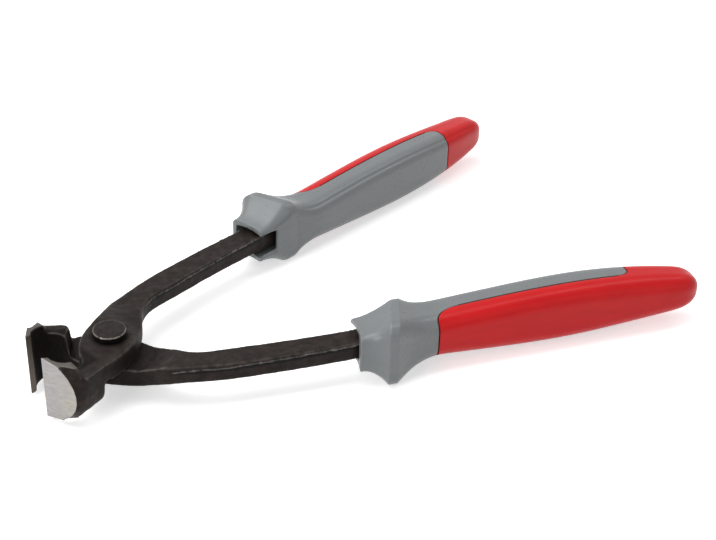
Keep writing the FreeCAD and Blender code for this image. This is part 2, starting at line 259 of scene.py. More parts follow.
class NodeBoard:
    """Small helper that lays out the nodes of one material or world."""

    def __init__(self, owner: bpy.types.Material | bpy.types.World) -> None:
        """Start with an empty node tree."""
        owner.use_nodes = True
        self.owner = owner
        self.tree = owner.node_tree
        self.tree.nodes.clear()

    def link(self, source: object, target: Socket) -> None:
        """Connect an output to an input, or write a constant into the input."""
        if isinstance(source, Socket):
            self.tree.links.new(source, target)
        else:
            target.default_value = (*source, 1.0) if target.type == "RGBA" else source

    def add(self, kind: str, inputs: dict[str | int, object], output: str | int = 0,
            **settings: str) -> Socket:
        """Add a node, fill its inputs and hand back one of its outputs.

        Args:
            kind: Type of node, without the leading "ShaderNode".
            inputs: A socket or a constant for each named or numbered input.
            output: Name or number of the output.
            settings: Properties of the node.

        Returns:
            The output.
        """
        node = self.tree.nodes.new("ShaderNode" + kind)
        for name, value in settings.items():
            setattr(node, name, value)
        for name, source in inputs.items():
            self.link(source, node.inputs[name])
        return node.outputs[output]

    def math(self, operation: str, *terms: object) -> Socket:
        """Arithmetic on two or more numbers or sockets, from the first to the last."""
        return reduce(lambda first, second: self.add(
            "Math", {0: first, 1: second}, operation=operation), terms)

    def product(self, *factors: object) -> Socket:
        """Product of two or more numbers or sockets."""
        return self.math("MULTIPLY", *factors)

    def size(self, value: Socket) -> Socket:
        """Value without its sign."""
        return self.add("Math", {0: value}, operation="ABSOLUTE")

    def shut_pose(self, half: Half) -> Socket:
        """Position on the piece in the shut pose, in millimetres.

        Args:
            half: The half whose swing is undone.

        Returns:
            Vector output that carries x, y and z.
        """
        coordinates = self.add("TexCoord", {}, "Object")
        back = Matrix(half.turn.T.tolist()).to_euler()
        return self.add("Mapping", {"Vector": coordinates, "Scale": (1 / MM, 1 / MM, 1 / MM),
                                    "Rotation": tuple(back), "Location": tuple(-PIVOT @ half.turn)})

    def scaled(self, source: Socket, scale: Triple) -> Socket:
        """Vector with each axis scaled."""
        return self.add("Mapping", {"Vector": source, "Scale": scale})

    def noise(self, source: Socket, scale: float, detail: float,
              roughness: float = 0.55) -> Socket:
        """Fractal noise of about 0 to 1 over a vector."""
        return self.add("TexNoise", {"Vector": source, "Scale": scale, "Detail": detail,
                                     "Roughness": roughness}, "Fac")

    def remap(self, value: Socket, low: float, high: float, to_low: float = 0.0,
              to_high: float = 1.0) -> Socket:
        """Stretch a value from one range to another, held at its ends."""
        return self.add("MapRange", {"Value": value, "From Min": low, "From Max": high,
                                     "To Min": to_low, "To Max": to_high}, "Result")

    def blend(self, share: Socket, first: object, second: object) -> Socket:
        """Mix two colours; each may be a socket or three numbers."""
        return self.add("Mix", {0: share, 6: first, 7: second}, 2, data_type="RGBA")

    def mix(self, share: Socket, first: object, second: object) -> Socket:
        """Mix two numbers or number sockets."""
        return self.add("Mix", {0: share, 2: first, 3: second})

    def tint(self, colour: Socket, strength: Socket) -> Socket:
        """Make a colour darker or lighter by a number."""
        return self.add("VectorMath", {0: colour, "Scale": strength}, operation="SCALE")

    def split(self, source: Socket) -> tuple[Socket, ...]:
        """The three numbers of a vector."""
        return tuple(self.add("SeparateXYZ", {0: source}).node.outputs)

    def radius(self, source: Socket) -> Socket:
        """Distance from the pivot's axis."""
        flat = self.scaled(source, (1.0, 1.0, 0.0))
        return self.add("VectorMath", {0: flat}, "Value", operation="LENGTH")

    def plane(self, source: Socket, normal: Triple, point: Triple) -> Socket:
        """Distance from a plane through a point, on either side of it."""
        along = self.add("VectorMath", {0: source, 1: normal}, "Value", operation="DOT_PRODUCT")
        return self.size(self.math("SUBTRACT", along, float(np.dot(normal, point))))

    def mark(self, name: str) -> Socket:
        """A named number that the piece's vertices carry."""
        return self.add("Attribute", {}, "Fac", attribute_name=name)

    def seen(self) -> Socket:
        """1 for rays from the camera and for mirrored and refracted ones, else 0."""
        path = self.add("LightPath", {}).node.outputs
        return self.math("MAXIMUM", path["Is Camera Ray"], path["Is Glossy Ray"],
                         path["Is Transmission Ray"])

    def bump(self, height: Socket, strength: object, distance: float, **base: Socket) -> Socket:
        """Surface normal disturbed by a height, on top of another Normal if given."""
        return self.add("Bump", {"Height": height, "Strength": strength,
                                 "Distance": distance * MM, **base}, "Normal")

    def show(self, shader: Socket) -> None:
        """Send a shader to the surface of the material or world."""
        kind = "World" if isinstance(self.owner, bpy.types.World) else "Material"
        self.link(shader, self.tree.nodes.new("ShaderNodeOutput" + kind).inputs["Surface"])

    def finish(self, inputs: dict[str, object]) -> bpy.types.Material:
        """Close a material with a Principled shader and hand it back."""
        self.show(self.add("BsdfPrincipled", inputs))
        return self.owner


@dataclass(frozen=True)
class JawPlanes:
    """The ground faces of one jaw, in the shut pose."""

    edge: Triple = (-25.3, -0.05, 0.0)
    bevel_lean: float = 12.0
    lip_angle: float = 30.0
    lip_front: float = -23.1
    side_slope: float = 10.3
    side_top: float = 10.9
    side_back: float = -18.9
    near: tuple[float, float] = (0.05, 0.12)

    @property
    def bevel(self) -> Triple:
        """Outward normal of the bright front bevel."""
        lean = math.radians(self.bevel_lean)
        return (-math.cos(lean), -math.sin(lean), 0.0)

    @property
    def lip(self) -> Triple:
        """Outward normal of the narrow face behind the cutting edge."""
        angle = math.radians(self.lip_angle)
        return (math.sin(angle), math.cos(angle), 0.0)

    @property
    def fall(self) -> float:
        """How much lower the side face lies for each millimetre of y."""
        return math.tan(math.radians(self.side_slope))


@dataclass(frozen=True)
class ForgedSteel:
    """Black phosphated forging with bright ground faces on its jaw."""

    half: Half
    name: str = "forged_steel"
    planes: JawPlanes = JawPlanes()
    dark: Triple = (0.0125, 0.0090, 0.0080)
    light: Triple = (0.0300, 0.0220, 0.0190)
    wear_and_highlight: Triple = (0.085, 0.074, 0.066)
    speck: Triple = (0.060, 0.050, 0.044)
    ground: Triple = (0.305, 0.292, 0.294)
    warm: Triple = (0.345, 0.323, 0.275)
    side: Triple = (0.085, 0.080, 0.073)
    lip: Triple = (0.120, 0.102, 0.084)
    shine: float = 0.09

    def material(self) -> bpy.types.Material:
        """The finish of one lever.

        The bright front bevel, the ground side faces and the lip are picked out by
        their distance from those planes in the shut pose. The hollow of the jaw,
        the lap below its top face and a ring round the rivet carry painted shade,
        the side under the flash a painted shadow, and edges are worn pale. Only
        the bevel has no bumps.

        Returns:
            The node material.
        """
        planes = self.planes
        board = NodeBoard(bpy.data.materials.new(self.name + "_" + self.half.value))
        product, remap = board.product, board.remap
        place = board.shut_pose(self.half)
        along, across, height = board.split(place)
        tall, width, radius = board.size(height), board.size(across), board.radius(place)
        level = board.math("ADD", tall, product(width, planes.fall))
        from_bevel = board.plane(place, planes.bevel, planes.edge)
        from_lip = board.plane(place, planes.lip, planes.edge)
        on_bevel = remap(from_bevel, *planes.near, 1.0, 0.0)
        on_side = product(remap(level, planes.side_top - 0.22, planes.side_top - 0.08),
                          remap(along, planes.side_back, planes.side_back - 0.6))
        on_lip = product(remap(from_lip, *planes.near, 1.0, 0.0),
                         remap(along, planes.lip_front, planes.lip_front - 0.2))
        bare = board.math("MAXIMUM", on_bevel, product(on_side, 0.9), product(on_lip, 0.7))

        # painted shade: a ring round the rivet, the lap's flank below its top face and the jaw's
        # hollow are darkened and made rougher
        ring = product(remap(radius, 7.0, 5.4), remap(height, 6.0, 6.3), 0.85)
        below = product(remap(height, 6.1, 4.8), remap(radius, 21.0, 14.0), 0.5)
        hollow = product(remap(across, -8.6, -7.0), remap(tall, 9.6, 8.8),
                         remap(along, -23.3, -22.6), remap(along, -9.0, -11.0), 0.9)
        painted_shade = board.math("MAXIMUM", ring, below, hollow)

        mottle = board.noise(place, 0.35, 4.0)
        grain = board.noise(place, 3.2, 4.0, 0.65)
        fine = board.noise(place, 9.0, 2.0, 0.6)
        skin = board.blend(remap(mottle, 0.35, 0.68), self.dark, self.light)
        skin = board.blend(remap(fine, 0.64, 0.74), skin, self.speck)
        skin = board.tint(skin, remap(painted_shade, 0.0, 1.0, 1.0, 0.2))
        # painted shadow: a dark wavy band on the side face just under the flash ridge
        line = remap(along, 18.0, 80.0, 1.5, 2.6)
        off = board.math("SUBTRACT", product(height, self.half.sign), line)
        off = board.math("ADD", off, remap(grain, 0.3, 0.7, -0.25, 0.25))
        under = product(remap(off, -1.5, -0.9), remap(off, 0.05, -0.2), remap(along, 14.0, 20.0))
        skin = board.tint(skin, remap(under, 0.0, 1.0, 1.0, 0.3))
        wear = product(board.mark("wear"), remap(mottle, 0.3, 0.6, 0.25, 1.0))
        skin = board.blend(wear, skin, self.wear_and_highlight)

        stroke = board.noise(board.scaled(place, (0.5, 0.4, 2.2)), 1.0, 5.0, 0.7)
        cloud = remap(board.noise(place, 0.3, 3.0), 0.35, 0.65, -0.25, 0.45)
        cloud = board.math("ADD", remap(width, 5.0, 13.5, 0.0, 0.7), cloud)
        bright = board.tint(board.blend(cloud, self.ground, self.warm),
                            remap(stroke, 0.3, 0.7, 0.72, 1.16))
        lined = board.noise(board.scaled(place, (0.35, 4.0, 4.0)), 1.1, 5.0, 0.7)
        side = board.blend(lined, shade(self.side, 0.8), shade(self.side, 1.25))
        colour = board.blend(on_lip, skin, self.lip)
        colour = board.blend(on_side, colour, side)
        rough = board.mix(painted_shade, remap(grain, 0.3, 0.7, 0.36, 0.50), 0.75)
        return board.finish({
            "Base Color": board.blend(on_bevel, colour, bright),
            "Metallic": bare,
            "Roughness": board.mix(bare, rough, remap(stroke, 0.3, 0.7, 0.38, 0.5)),
            "Normal": board.bump(stroke, remap(on_bevel, 0.0, 1.0, 0.16, 0.0), 0.03),
            "Specular IOR Level": self.shine,
        })


@dataclass(frozen=True)
class RivetSteel:
    """Blackened smooth steel of the rivet, worn bright along its upper rim, with a painted
    highlight on that rim.
    """

    dark: Triple = (0.0120, 0.0086, 0.0079)
    light: Triple = (0.0260, 0.0190, 0.0170)
    wear_and_highlight: Triple = (0.22, 0.195, 0.175)
    shine: float = 0.10

    def material(self) -> bpy.types.Material:
        """The rivet's finish: a mottled black skin, painted shade on its head's flank, and a patchy
        bright rim of wear and painted highlight.
        """
        board = NodeBoard(bpy.data.materials.new("rivet_steel"))
        remap = board.remap
        place = board.shut_pose(Half.UPPER)
        height, radius = board.split(place)[2], board.radius(place)
        mottle = board.noise(place, 0.6, 4.0)
        grain = board.noise(place, 4.0, 4.0, 0.65)
        colour = board.blend(remap(mottle, 0.35, 0.65), self.dark, self.light)
        # painted shade: the head's flank below the rim is darkened
        colour = board.tint(colour, remap(height, 8.1, 7.7, 1.0, 0.35))
        # the bright rim is wear with a painted highlight on it
        rim = board.product(remap(radius, 4.74, 4.90), remap(height, 8.28, 8.40),
                            remap(mottle, 0.3, 0.6, 0.15, 1.0))
        return board.finish({
            "Base Color": board.blend(rim, colour, self.wear_and_highlight),
            "Metallic": board.product(rim, 0.7),
            "Roughness": board.mix(rim, remap(grain, 0.3, 0.7, 0.32, 0.48), 0.3),
            "Normal": board.bump(grain, 0.22, 0.07),
            "Specular IOR Level": self.shine,
        })


@dataclass(frozen=True)
class MouldedGrip:
    """Satin moulded plastic with a fine spark-eroded texture."""

    name: str
    half: Half
    base: Triple
    pale: Triple
    rough: tuple[float, float]
    shine: float

    def material(self) -> bpy.types.Material:
        """The plastic's finish, with faint flow marks and painted shade darkening its seam."""
        board = NodeBoard(bpy.data.materials.new(self.name + "_" + self.half.value))
        place, seam = board.shut_pose(self.half), board.mark("seam")
        flow = board.noise(board.scaled(place, (0.10, 0.35, 0.35)), 1.0, 3.0)
        colour = board.blend(board.remap(flow, 0.25, 0.75), self.base, self.pale)
        rough = board.remap(board.noise(place, 0.9, 4.0), 0.3, 0.7, *self.rough)
        grain = board.bump(board.noise(place, 7.5, 2.0, 0.5), 0.05, 0.04)
        return board.finish({
            # painted shade: the seam between core and shell is darkened and made rougher
            "Base Color": board.blend(seam, colour, shade(self.base, 0.07)),
            "Roughness": board.mix(seam, rough, 0.8),
            "Normal": board.bump(board.noise(place, 0.25, 2.0), 0.10, 0.25, Normal=grain),
            "Specular IOR Level": self.shine,
        })


@dataclass(frozen=True)
class GripForm:
    """Sizes and surface of one moulded grip, in the shut pose."""

    parting: float = 17.4
    mouth: float = 73.0
    ridge: float = 84.2
    band: float = 3.0
    neck: float = 100.0
    cap: float = 184.5
    butt: float = 193.0
    cap_power: float = 2.9
    mouth_section: tuple[float, ...] = (11.4, 24.9, 12.8, 1.8, 0.0)
    ridge_section: tuple[float, ...] = (10.3, 28.9, 23.2, 4.4, 18.0)
    stations: tuple[tuple[float, ...], ...] = (
        (100.0, 8.8, 23.9, 15.4, 5.4, 0.0),
        (120.0, 8.9, 23.9, 17.9, 5.4, 0.0),
        (148.0, 8.6, 23.9, 19.2, 5.4, 0.0),
        (179.0, 10.2, 23.9, 15.0, 5.4, 0.0),
        (188.5, 11.7, 23.5, 12.2, 4.5, 0.0),
        (193.0, 12.3, 22.6, 10.2, 3.8, 0.0),
    )
    window_back: float = 81.3
    window_half: float = 4.7
    window_corner: float = 0.8
    pocket_inner: float = 12.05
    pocket_outer: float = 22.95
    pocket_half: float = 4.5
    pocket_corner: float = 0.8
    pocket_end: float = 87.0
    lip_round: float = 0.45
    hollow: float = 1.1
    hollow_half: float = 6.7
    mouth_lean: float = 0.9
    shell_start: float = 99.5
    shell_corner: tuple[float, float] = (8.5, 5.0)
    cap_start: float = 168.0
    cap_corner: tuple[float, float] = (4.5, 2.5)
    inner_corner: float = 0.88
    tight_from: tuple[float, float] = (86.0, 96.0)
    crease: tuple[float, float] = (0.22, 0.5)
    crease_from: tuple[float, float] = (88.0, 98.0)
    crease_to: tuple[float, float] = (190.0, 182.0)
    shell_wall: float = 2.0
    table_step: float = 0.05
    softening: tuple[float, float] = (0.2, 2.2)
    soft_from: tuple[float, float] = (91.0, 97.0)

    def table(self) -> tuple[np.ndarray, np.ndarray]:
        """Section sizes along the handle.

        Between the mouth and the ridge the outer face and the height grow with the
        square of the way, and so they do from the neck back to the ridge. Behind
        the neck each size is a natural spline. A bell curve then softens the
        ridge's two edges, and a wider one the neck.

        Returns:
            The positions, and a table of inner, outer, height, corner and tilt.
        """
        at = np.arange(self.mouth, self.butt + self.table_step / 2, self.table_step)
        front, top = np.array(self.mouth_section), np.array(self.ridge_section)
        handle = np.array(self.stations)
        grows = np.array([False, True, True, False, False])
        way = np.clip((at - self.mouth) / (self.ridge - self.mouth), 0.0, 1.0)[:, None]
        flare = front + (top - front) * np.where(grows, way**2, way)
        end = self.ridge + self.band
        way = np.clip((self.neck - at) / (self.neck - end), 0.0, 1.0)[:, None]
        fall = handle[0, 1:] + (top - handle[0, 1:]) * np.where(grows, way**2, way)
        plain = np.stack([natural_spline(handle[:, 0], column, at)
                          for column in handle.T[1:]], axis=1)
        sizes = np.where((at < self.ridge)[:, None], flare, fall)
        sizes = np.where((at > self.neck)[:, None], plain, sizes)
        crisp, soft = (np.stack([blur(column, self.table_step, width) for column in sizes.T],
                                axis=1) for width in self.softening)
        return at, crisp + (soft - crisp) * ramp(at, *self.soft_from)[:, None]

    @staticmethod
    def ray(outward: np.ndarray, inward: np.ndarray, up: np.ndarray, corner: np.ndarray,
            angle: np.ndarray) -> np.ndarray:
        """Distance from the centre to a rounded rectangle along a bearing.

        The straight sides give the shorter of the two runs to them. Where that
        point lies beyond both corner centres, the run to the corner's circle is
        the larger root of the line-circle equation.

        Args:
            outward: Reach on the side of bearing 0.
            inward: Reach on the side of bearing 180 degrees.
            up: Reach up and down.
            corner: Corner radius.
            angle: Bearing in radians.

        Returns:
            The distance, shaped as the arguments broadcast together.
        """
        c, s = np.cos(angle), np.sin(angle)
        wide = np.where(c >= 0.0, outward, inward)
        ca, sa = np.abs(c), np.abs(s)
        straight = np.minimum(wide / np.maximum(ca, 1e-9), up / np.maximum(sa, 1e-9))
        cx, cy = wide - corner, up - corner
        middle = cx * ca + cy * sa
        root = np.sqrt(np.maximum(middle**2 - cx**2 - cy**2 + corner**2, 0.0))
        in_corner = (straight * ca > cx) & (straight * sa > cy)
        return np.where(in_corner, middle + root, straight)

    def skin(self, station: np.ndarray | float, angle: np.ndarray,
             inset: np.ndarray | float = 0.0) -> np.ndarray:
        """Points of the outer form.

        Each section is a rounded rectangle, turned about the vertical by its tilt
        and pierced by the parting line, from which the bearings are taken. Its
        inner corners are tighter, and a shallow bell-shaped crease follows them.
        Past the cap line every section shrinks by a superellipse's height.

        Args:
            station: Position of the section along the handle.
            angle: Bearing round it in radians, 0 outwards and 90 degrees up.
            inset: How far the point lies below the skin.

        Returns:
            Array of x, y, z with the broadcast shape of the arguments.
        """
        station, angle = np.broadcast_arrays(station, angle)
        at, sizes = self.table()
        inner, outer, height, corner, tilt = (np.interp(station, at, column)
                                              for column in sizes.T)
        over = np.clip((station - self.cap) / (self.butt - self.cap), 0.0, 1.0)
        shrink = np.maximum(1.0 - over**self.cap_power, 0.0) ** (1.0 / self.cap_power)
        turn = np.radians(tilt)
        centre = (inner + outer) / 2.0
        half_width = (outer - inner) / 2.0 / np.cos(turn)
        offset = (self.parting - centre) / np.cos(turn)
        inward = np.cos(angle) < 0.0
        tight = 1.0 - (1.0 - self.inner_corner) * ramp(station, *self.tight_from)
        corner = corner * np.where(inward, tight, 1.0)
        reach = self.ray((half_width - offset) * shrink, (half_width + offset) * shrink,
                         height / 2.0 * shrink, corner * shrink, angle)
        bend = np.arctan2(height / 2.0 - 0.3 * corner, half_width + offset - 0.3 * corner)
        gap = (np.pi - np.abs(np.pi - np.mod(angle, 2.0 * np.pi)) - (np.pi - bend)) * reach
        line = self.crease[0] * np.exp(-0.5 * (gap / self.crease[1]) ** 2) * inward
        line = line * ramp(station, *self.crease_from) * ramp(station, *self.crease_to)
        reach = np.maximum(reach - inset - line, 0.0)
        across = offset + reach * np.cos(angle)
        return np.stack([station - across * np.sin(turn), centre + across * np.cos(turn),
                         reach * np.sin(angle)], axis=-1)

    def bearings(self) -> np.ndarray:
        """Grid bearings in radians, closer at the seam and at the window's corners."""
        upper = np.concatenate([
            np.linspace(0.0, 84.0, 34, endpoint=False),
            [84.0, 85.5, 86.6, 87.6, 88.1, 88.8, 89.3, 89.85, 90.0, 90.54, 91.35, 93.0,
             94.5, 96.5],
            np.linspace(99.0, 122.0, 9, endpoint=False),
            np.linspace(122.0, 151.0, 36, endpoint=False),
            np.linspace(151.0, 180.0, 13, endpoint=False),
        ])
        return np.radians(np.concatenate([upper, [180.0], 360.0 - upper[:0:-1]]))

    def seam_lines(self, angle: np.ndarray) -> tuple[np.ndarray, np.ndarray]:
        """Where the shell starts and where the core ends, for each bearing.

        Both lines are straight across the handle and turn along the parting line
        through a quarter ellipse, drawn over the distance from that line.

        Args:
            angle: Bearings in radians.

        Returns:
            Stations of the shell's front line and of the core's rear line.
        """
        front = self.skin(self.shell_start + 2.0, angle)[:, 1]
        run, r = self.shell_corner
        out = np.clip(front - self.parting, 0.0, r)
        start = self.shell_start + run * (1.0 - np.sqrt(1.0 - (1.0 - out / r) ** 2))
        rear = self.skin(self.cap_start - 1.0, angle)[:, 1]
        run, r = self.cap_corner
        away = np.clip(self.parting - rear, 0.0, r)
        return start, self.cap_start - run * (1.0 - np.sqrt(1.0 - (1.0 - away / r) ** 2))

    def rows(self, angle: np.ndarray) -> tuple[np.ndarray, np.ndarray]:
        """Stations of the grid behind the guard, bent to follow both seam lines.

        Args:
            angle: Bearings in radians.

        Returns:
            Stations by row and bearing, and the distance into the shell's zone.
        """
        start, rear = self.seam_lines(angle)
        steps = np.array([-0.45, -0.2, -0.08, 0.0, 0.02, 0.1, 0.18, 0.28, 0.5])[:, None]
        swell = np.linspace(0.0, 1.0, 96)[1:-1, None]
        tail = np.linspace(0.0, 1.0, 24)[1:, None]
        way = np.radians(np.linspace(0.0, 89.0, 34))[1:, None]
        dome = self.cap + (self.butt - self.cap) * np.sin(way) ** (2.0 / self.cap_power)
        station = np.concatenate([
            start + steps,
            start + 0.5 + (rear - start - 0.95) * swell,
            rear + steps,
            rear + 0.5 + (self.cap - rear - 0.5) * tail,
            dome + 0.0 * start,
        ])
        side = self.skin(station, angle)[..., 1] - self.parting
        zone = np.maximum(np.minimum(station - start, side), station - rear)
        return station, zone

    def front_line(self, angle: np.ndarray) -> np.ndarray:
        """Station of the mouth's rim for each bearing.

        It is the first section whose point lies behind the hollowed mouth and
        outside the window in the inner wall.

        Args:
            angle: Bearings in radians.

        Returns:
            One station for each bearing.
        """
        tries = np.arange(self.mouth, self.mouth + 12.0, 0.02)
        points = self.skin(tries[:, None], angle)
        x, y, z = points[..., 0], points[..., 1], points[..., 2]
        middle = (self.mouth_section[0] + self.mouth_section[1]) / 2.0
        bow = np.clip(1.0 - ((y - middle) / self.hollow_half) ** 2, 0.0, 1.0)
        lean = self.mouth_lean * np.clip((self.parting - y) / 6.0, 0.0, 1.0)
        behind = x >= self.mouth + self.hollow * bow + lean - 1e-6
        r = self.window_corner
        corner = np.maximum(np.abs(z) - self.window_half + r, 0.0)
        depth = self.window_back - r + np.sqrt(np.maximum(r**2 - corner**2, 0.0))
        in_window = (y < self.parting) & (np.abs(z) < self.window_half) & (x < depth)
        return tries[np.argmax(behind & ~in_window, axis=0)]


@dataclass
class Grip:
    """Grey core and red shell of one handle."""

    half: Half
    form: GripForm
    core_finish: MouldedGrip
    shell_finish: MouldedGrip

    def __post_init__(self) -> None:
        """Lay out one grid for both pieces, so that they meet along the same seam."""
        self.angle = self.form.bearings()
        self.station, self.zone = self.form.rows(self.angle)

    def pocket(self, mouth: np.ndarray) -> np.ndarray:
        """Hole for the tang, from the middle of its floor out to its rounded rim.

        Args:
            mouth: Station of the mouth for each bearing.

        Returns:
            Points by row and bearing.
        """
        form, angle, r = self.form, self.angle, self.form.lip_round
        run = form.ray(form.pocket_outer - form.parting, form.parting - form.pocket_inner,
                       form.pocket_half, form.pocket_corner, angle)
        turn = np.radians(np.linspace(90.0, 0.0, 5))[:, None]
        lip = mouth + r * (1.0 - np.cos(turn))
        wall = lip[0] + (form.pocket_end - lip[0]) * np.linspace(1.0, 0.0, 7)[:-1, None]
        floor_run = run * np.array([0.25, 0.6, 0.9])[:, None]
        along = np.concatenate([np.full_like(floor_run, form.pocket_end), wall, lip])
        run = np.concatenate([floor_run, run + 0.0 * wall, run + r * (1.0 - np.sin(turn))])
        return np.stack([along, form.parting + run * np.cos(angle), run * np.sin(angle)],
                        axis=-1)

    def core(self) -> None:
        """Grey core: the whole form, sunk where the shell lies on it.

        The grid starts in the pocket round the tang, comes out over the rounded lip
        of the mouth, and runs along the skin to the butt.
        """
        form, angle, station, r = self.form, self.angle, self.station, self.form.lip_round
        rim = form.front_line(angle)
        turn = np.radians(np.linspace(90.0, 0.0, 6))[:, None]
        edge = form.skin(rim + r * (1.0 - np.sin(turn)), angle, r * (1.0 - np.cos(turn)))
        flare = rim + r + (form.ridge - 0.8 - rim - r) * np.linspace(0.0, 1.0, 32)[1:, None]
        crest = np.arange(form.ridge - 0.65, form.ridge + form.band + 0.8, 0.15)
        crest = crest[:, None] + 0.0 * rim
        fall = crest[-1] + (station[0] - crest[-1]) * np.linspace(0.0, 1.0, 40)[1:-1, None]
        guard = form.skin(np.concatenate([flare, crest, fall]), angle)
        depth = np.interp(self.zone, [-0.45, -0.2, -0.08, 0.0, 0.02],
                          [0.0, 0.03, 0.12, 0.35, form.shell_wall])
        handle = form.skin(station, angle, depth)
        grid = np.concatenate([self.pocket(edge[0, :, 0]), edge, guard, handle])
        points, faces = closed_tube(grid, [[form.pocket_end, form.parting, 0.0],
                                           [form.butt - form.shell_wall, form.parting, 0.0]])
        seam = np.zeros(len(points))
        # how much of the grip's painted seam shade each vertex gets
        seam[-2 - self.zone.size:-2] = np.interp(self.zone, [-0.30, -0.1], [0.0, 1.0]).ravel()
        name = self.half.value + "_grip_core"
        piece = Piece("grey_" + name, self.half, "grey_grip", (name,))
        piece.build(points, faces, self.core_finish.material(), {"seam": seam})

    def shell(self) -> None:
        """Red shell: the same skin inside the seam, given its wall by Solidify."""
        form, zone = self.form, self.zone
        depth = np.interp(zone, [0.1, 0.18, 0.28, 0.5], [0.35, 0.12, 0.03, 0.0])
        grid = form.skin(self.station, self.angle, depth)
        rows, columns = grid.shape[:2]
        keep = (zone >= 0.1 - 1e-6).reshape(-1)
        quads = tube_faces(rows, columns)
        quads = quads[keep[quads].all(axis=1)]
        tip = fan_faces(rows - 1, columns, rows * columns)
        points = np.concatenate([grid.reshape(-1, 3), [[form.butt, form.parting, 0.0]]])
        used = np.unique(np.concatenate([quads.ravel(), tip.ravel()]))
        renumber = np.zeros(len(points), dtype=int)
        renumber[used] = np.arange(len(used))
        # how much of the grip's painted seam shade each vertex gets
        seam = np.append(np.interp(zone, [0.1, 0.2, 0.3], [1.0, 0.8, 0.0]).ravel(), 0.0)
        name = self.half.value + "_grip_shell"
        piece = Piece("red_" + name, self.half, "red_grip", (name,)).build(
            points[used], [renumber[quads], renumber[tip]], self.shell_finish.material(),
            {"seam": seam[used]})
        wall = piece.modifiers.new("wall", "SOLIDIFY")
        wall.thickness = (form.shell_wall - 0.15) * MM
        wall.offset = -1.0

    def build(self) -> None:
        """Make both pieces."""
        self.core()
        self.shell()


@dataclass
class Rivet:
    """Turned rivet: a flat rounded head above, a hammered one below."""

    shank: float = 4.0
    head: float = 5.1
    height: float = 2.3
    lap: float = 6.4
    lift: float = 0.05
    edge: float = 0.45
    foot: float = 4.1
    segments: int = 112

    def outline(self) -> np.ndarray:
        """Half outline from the top pole to the bottom pole, radius and height.

        The upper head's rim is a quarter circle and its top a shallow dome. The
        lower head's flank is a quarter of a superellipse.

        Returns:
            Array of radius and height pairs, without the poles.
        """
        top = self.lap + self.lift + self.height
        dome = np.linspace(0.12, 1.0, 14)[:, None]
        flat = np.hstack([dome * (self.head - self.edge), top - 0.06 * dome**2])
        turn = np.radians(np.linspace(90.0, -40.0, 16))[1:, None]
        rim = np.hstack([self.head - self.edge + self.edge * np.cos(turn),
                         top - 0.06 - self.edge + self.edge * np.sin(turn)])
        seat = self.lap + self.lift
        under = np.array([[self.head, top - self.height * 0.6], [self.head, self.lap + 0.2],
                          [self.head - 0.12, seat], [self.shank, seat],
                          [self.shank, -self.lap], [self.head - 0.1, -self.lap],
                          [self.head, -self.lap - 0.15]])
        turn = np.radians(np.linspace(0.0, 90.0, 18))[:, None]
        drop = self.height - 0.4
        foot = np.hstack([self.foot + (self.head - self.foot) * np.cos(turn) ** 0.8,
                          -self.lap - 0.4 - drop * np.sin(turn) ** 0.8])
        sole = np.linspace(0.9, 0.12, 9)[:, None]
        sole = np.hstack([sole * self.foot, np.full_like(sole, -self.lap - self.height)])
        return np.vstack([flat, rim, under, foot, sole])

    def build(self) -> bpy.types.Object:
        """Carry the outline round the pivot axis and close it at both poles."""
        line = self.outline()
        turn = np.linspace(0.0, 2.0 * np.pi, self.segments, endpoint=False)
        grid = np.stack([line[:, :1] * np.cos(turn), line[:, :1] * np.sin(turn),
                         line[:, 1:] + 0.0 * turn], axis=-1)
        points, faces = closed_tube(grid, [[0.0, 0.0, line[0, 1]], [0.0, 0.0, line[-1, 1]]])
        piece = Piece("black_rivet", Half.LOWER, "rivet_steel", ("rivet",))
        # the lower half is turned over, so the rivet is drawn upside down
        return piece.build(points * [1.0, -1.0, -1.0], faces, RivetSteel().material())


